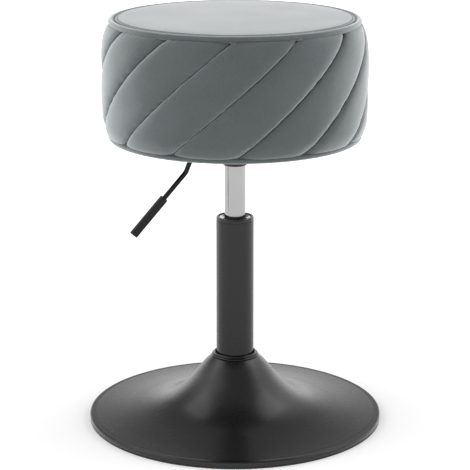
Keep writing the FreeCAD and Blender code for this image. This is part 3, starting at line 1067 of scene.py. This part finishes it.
@dataclass
class Underside:
    """Dust cloth pulled up at its staples, turned-under hem and bolts below the base board."""

    cloth_radius: float = 151.0
    cloth_z: float = 388.2
    cloth_slack: float = 0.45
    hem_z: float = 388.95
    hem_radii: Point = (138.0, 158.9)
    staple_radius: float = 145.0
    staples: int = 20
    bolt_radius: float = 58.0 * math.sqrt(2.0)
    bolt_z: float = 384.5

    def cloth(self, shop: Workshop) -> None:
        """Nonwoven disc, pulled up at each staple and slack between them."""
        rings, around = 44, 240
        verts = [(0.0, 0.0, self.cloth_z)]
        for i in range(1, rings + 1):
            radius = self.cloth_radius * i / rings
            for j in range(around):
                angle = TAU * j / around
                between = 0.5 - 0.5 * math.cos(self.staples * angle - math.pi)
                slack = min(1.0, max(0.0, (radius - 78.0) / 50.0)) * (1.0 - 0.35 * between)
                edge = math.exp(-((radius - self.staple_radius) / 9.0) ** 2)
                crumple = noise.noise(Vector((radius * 0.05, angle * 6.0, 2.0)))
                z = self.cloth_z - (self.cloth_slack + 0.35 * crumple) * slack * (1.0 - edge)
                verts.append(polar(radius, angle, z))
        faces = [[0, 1 + (j + 1) % around, 1 + j] for j in range(around)]
        for i in range(rings - 1):
            for j in range(around):
                k = (j + 1) % around
                a, b = 1 + i * around, 1 + (i + 1) * around
                faces.append([a + j, a + k, b + k, b + j])
        obj = new_object("dust_cloth", np.array(verts) * MM, faces)
        thicken(obj, 0.0004)
        shop.dress(obj, Slot.NONWOVEN, Body.SEAT, "dust_cover")

    def hem(self, shop: Workshop) -> None:
        """Edge of the side cover, pleated flat under the board."""
        inner, outer = self.hem_radii
        steps, around = 8, 720
        verts = []
        for j in range(around):
            angle = TAU * j / around
            for i in range(steps + 1):
                radius = inner + (outer - inner) * i / steps
                pleat = noise.noise(Vector((math.cos(angle) * 22.0, math.sin(angle) * 22.0, 1.0)))
                fold = abs(pleat) * (0.25 + 0.5 * (1.0 - i / steps))
                verts.append(polar(radius, angle, self.hem_z - 0.6 * fold))
        faces = ring_faces(around, steps + 1, False)
        obj = new_object("turned_hem", np.array(verts) * MM, faces)
        thicken(obj, 0.0005)
        shop.dress(obj, Slot.VELVET, Body.SEAT, "fabric_hem")

    def bolt(self) -> bpy.types.Object:
        """One hexagon-head bolt hanging at the origin, its washer face at z = 0."""
        half, high, chamfer = 5.6, 3.9, 0.5
        work = bmesh.new()
        bmesh.ops.create_cone(work, cap_ends=True, segments=6, radius1=half, radius2=half,
                              depth=high)
        bmesh.ops.bevel(work, geom=list(work.edges), offset=chamfer, segments=2, affect="EDGES")
        bmesh.ops.translate(work, verts=work.verts, vec=(0.0, 0.0, -high / 2.0))
        shank = bmesh.ops.create_cone(work, cap_ends=True, segments=20, radius1=3.0, radius2=3.0,
                                      depth=19.0)["verts"]
        bmesh.ops.translate(work, verts=shank, vec=(0.0, 0.0, 9.4))
        bmesh.ops.scale(work, verts=work.verts, vec=(MM, MM, MM))
        return in_fixed_order(from_bmesh("bolt_template", work))

    def bolts(self, shop: Workshop) -> None:
        """The four bolts that hold the mounting plate."""
        template = self.bolt()
        carrier = polyline("bolt_places", [circle_points(10.0, 384.0, 4)], True)
        obj = round_the_axis().apply(
            carrier, "plate_bolt_set", Count=4, Radius=self.bolt_radius * MM,
            Height=self.bolt_z * MM, Start=math.radians(45.0), Wobble=0.5, Seed=4,
            Template=template, Material=shop.stock[Slot.ZINC])
        bpy.data.objects.remove(template)
        obj.data.polygons.foreach_set("use_smooth", [False] * len(obj.data.polygons))
        shop.dress(obj, Slot.ZINC, Body.SEAT, "plate_bolts")

    def build(self, shop: Workshop) -> None:
        """Make everything under the board."""
        self.cloth(shop)
        self.hem(shop)
        self.bolts(shop)


# ---- base and column ----


@dataclass
class Trumpet:
    """Spun steel base with a rolled rim, coated black."""

    wall: float = 1.6
    segments: int = 288
    profile: list[Point] = field(default_factory=lambda: [
        (31.0, 86.6), (35.3, 82.9), (39.8, 78.3), (44.3, 73.0), (50.0, 66.0), (57.0, 56.8),
        (66.0, 46.6), (77.0, 36.7), (90.0, 27.8), (106.0, 20.9), (124.0, 16.4), (145.0, 13.2),
        (163.0, 11.1), (178.0, 9.8), (186.0, 9.25), (189.4, 9.02), (192.0, 9.0), (195.0, 9.0)])
    rim: Point = (195.0, 7.0)
    rim_radius: float = 2.0
    foot: float = 2.5
    gloss_from: float = 187.5
    gloss_blend: float = 2.0

    def build(self, shop: Workshop) -> bpy.types.Object:
        """Turn the section round the axis."""
        line = smooth_line(self.profile, 8)
        angles = np.linspace(math.pi / 2.0, 0.0, 10)[1:]
        bead = np.stack([self.rim[0] + self.rim_radius * np.cos(angles),
                         self.rim[1] + self.rim_radius * np.sin(angles)], axis=1)
        outer = np.vstack([line, bead, [self.rim[0] + self.rim_radius, self.foot]])
        along = np.gradient(outer, axis=0)
        along /= np.linalg.norm(along, axis=1)[:, None]
        inner = outer + np.stack([along[:, 1], -along[:, 0]], axis=1) * self.wall
        inner[-1, 1] = self.foot
        obj = lathe("base_trumpet", np.vstack([outer, inner[::-1]]), self.segments)
        radii = radii_of(points_of(obj)[0])
        add_attribute(obj, "rim", np.clip((radii - self.gloss_from) / self.gloss_blend, 0.0, 1.0))
        shop.dress(obj, Slot.BLACK_COAT, Body.BASE, "base_shell", material=shop.rim_coat)
        return obj


@dataclass
class Welds:
    """Weld beads of overlapping ripples."""

    pitch: float = 1.5

    def ripple(self, radius: float) -> bpy.types.Object:
        """One ripple of a bead: a flattened drop."""
        work = bmesh.new()
        bmesh.ops.create_icosphere(work, subdivisions=1, radius=radius * MM)
        bmesh.ops.scale(work, verts=work.verts, vec=(0.75, 1.0, 0.8))
        return from_bmesh("ripple_template", work)

    def build(self, shop: Workshop, name: str, line: np.ndarray, radius: float, slot: Slot,
              body: Body) -> bpy.types.Object:
        """Lay a closed bead.

        Args:
            shop: Where the finishes are.
            name: Name of the piece.
            line: Closed line in metres.
            radius: Half width of the bead in millimetres.
            slot: Finish over the bead.
            body: Body it rides on.

        Returns:
            The bead as one mesh.
        """
        template = self.ripple(radius)
        obj = along_a_line().apply(polyline(name + "_line", [line], True), name,
                                   Pitch=self.pitch * MM, Size_Spread=0.12, Seed=7,
                                   Template=template, Material=shop.stock[slot])
        bpy.data.objects.remove(template)
        return shop.dress(obj, slot, body)


# ---- studio ----


@dataclass
class Studio:
    """Pale floor, soft light and the camera."""

    distance: float = 2.3714
    height: float = 0.8965
    azimuth: float = -15.0
    pitch: float = 15.174
    lens: float = 141.51
    sensor: float = 36.0
    aim_height: float = 0.3
    top_power: float = 13.0
    side_power: float = 6.0
    floor_half: float = 12.0
    surround: float = 1.0
    side_from: float = 0.16          # squared sideways share at which the side sky starts
    side_full: float = 0.6           # and at which only it is left
    sky: list[Point] = field(default_factory=lambda: [
        (0.0, 1.7), (0.14, 1.65), (0.26, 1.25), (0.36, 0.5), (0.44, 0.24), (0.62, 0.32),
        (0.8, 0.38), (1.0, 0.4)])
    side_sky: list[Point] = field(default_factory=lambda: [
        (0.0, 1.7), (0.2, 1.6), (0.4, 1.3), (0.62, 1.8), (0.8, 2.0), (0.9, 1.2), (1.0, 0.6)])

    def floor(self) -> None:
        """Wide pale floor."""
        half = self.floor_half
        verts = np.array([(-half, -half, 0.0), (half, -half, 0.0), (half, half, 0.0),
                          (-half, half, 0.0)])
        obj = new_object("floor", verts, [[0, 1, 2, 3]], False)
        shader = Shader("pale floor").set(
            Base_Color=(0.9, 0.9, 0.9, 1.0), Roughness=0.9, Specular_IOR_Level=0.0,
            Emission_Color=(1.0, 1.0, 1.0, 1.0))
        away = shader.node("ShaderNodeVectorMath", {0: shader.place()}, operation="LENGTH")
        glow = shader.node("ShaderNodeMapRange", {
            "Value": away.outputs["Value"], "From Min": 0.2, "From Max": 2.2,
            "To Min": 0.16, "To Max": 0.62})
        shader.tree.links.new(glow.outputs[0], shader.surface.inputs["Emission Strength"])
        obj.data.materials.append(shader.material)

    def world(self) -> None:
        """White surroundings, darker between the horizon and the zenith except at the sides."""
        world = bpy.data.worlds.new("studio")
        world.use_nodes = True
        bench = NodeBench(world.node_tree)
        paint = world.node_tree.nodes["Background"]
        where = bench.node("ShaderNodeTexCoord").outputs["Generated"]
        parts = bench.node("ShaderNodeSeparateXYZ", {0: where}).outputs
        blend = bench.node("ShaderNodeMix", data_type="RGBA")
        colours = [socket for socket in blend.inputs if socket.type == "RGBA"]
        for stops, target in zip((self.sky, self.side_sky), colours):
            ramp = bench.node("ShaderNodeValToRGB", {"Fac": parts["Z"]})
            set_stops(ramp, stops)
            bench.tree.links.new(ramp.outputs["Color"], target)
        share = bench.node("ShaderNodeMapRange", {
            "Value": bench.times(parts["X"], parts["X"]),
            "From Min": self.side_from, "From Max": self.side_full})
        bench.tree.links.new(share.outputs[0], blend.inputs["Factor"])
        mixed = [socket for socket in blend.outputs if socket.type == "RGBA"][0]
        bench.tree.links.new(mixed, paint.inputs["Color"])
        paint.inputs["Strength"].default_value = self.surround
        bpy.context.scene.world = world
        bpy.context.scene.view_settings.view_transform = "Standard"

    def lamp(self, name: str, place: tuple, size: tuple, power: float,
             mirrored: bool = True) -> None:
        """Add one soft box that faces the stool.

        Args:
            name: Name of the lamp.
            place: Where it hangs.
            size: Its width and height.
            power: Watts.
            mirrored: Whether glossy surfaces mirror it.
        """
        data = bpy.data.lights.new(name, "AREA")
        data.shape = "RECTANGLE"
        data.size, data.size_y = size
        data.energy = power
        obj = bpy.data.objects.new(name, data)
        bpy.context.scene.collection.objects.link(obj)
        obj.location = place
        facing = Vector((0.0, 0.0, self.aim_height)) - Vector(place)
        obj.rotation_mode = "QUATERNION"
        obj.rotation_quaternion = facing.to_track_quat("-Z", "Y")
        obj.visible_glossy = mirrored

    def camera(self) -> None:
        """Camera at the height and turn from which the stool is shown."""
        data = bpy.data.cameras.new("camera")
        data.lens = self.lens
        data.sensor_width = self.sensor
        obj = bpy.data.objects.new("camera", data)
        bpy.context.scene.collection.objects.link(obj)
        turn = math.radians(self.azimuth)
        obj.location = (math.sin(turn) * self.distance, -math.cos(turn) * self.distance,
                        self.height)
        obj.rotation_euler = (math.radians(90.0 - self.pitch), 0.0, turn)
        bpy.context.scene.camera = obj

    def build(self) -> None:
        """Set up the studio."""
        self.camera()
        self.floor()
        self.world()
        self.lamp("overhead", (0.0, 0.0, 2.6), (1.6, 1.6), self.top_power, False)
        self.lamp("left box", (-1.16, 0.81, 1.99), (1.5, 1.1), self.side_power)
        self.lamp("right box", (1.41, 0.12, 1.99), (1.5, 1.1), self.side_power)


@dataclass
class Stool:
    """The whole stool, built group by group."""

    band: SideBand = field(default_factory=SideBand)
    stitching: Stitching = field(default_factory=Stitching)
    welds: Welds = field(default_factory=Welds)

    def build(self) -> None:
        """Build and dress every group."""
        shop = Workshop()
        shop.dress_frame()
        self.band.build(shop)
        SeatTop().build(shop)
        Roll("top_roll", "top_piping", 159.8, 540.6, 3.9, 3.9, (155.0, -50.0)).build(shop)
        Roll("bottom_roll", "bottom_piping", 162.0, 391.2, 3.9, 4.0, (60.0, 200.0)).build(shop)
        self.stitching.build(shop, "channel_stitches", self.band.seam_lines(4.75), False)
        Underside().build(shop)
        Trumpet().build(shop)
        self.welds.build(shop, "hub_weld", circle_points(16.6, 366.6), 1.6, Slot.BLACK_COAT,
                         Body.SEAT)
        self.welds.build(shop, "socket_weld", circle_points(29.0, 7.4), 1.6, Slot.BLACK_COAT,
                         Body.BASE)


def main() -> None:
    """Build the studio and the stool."""
    logging.basicConfig(level=logging.INFO, format="%(name)s %(message)s")
    Studio().build()
    Stool().build()


if __name__ == "__main__":
    main()
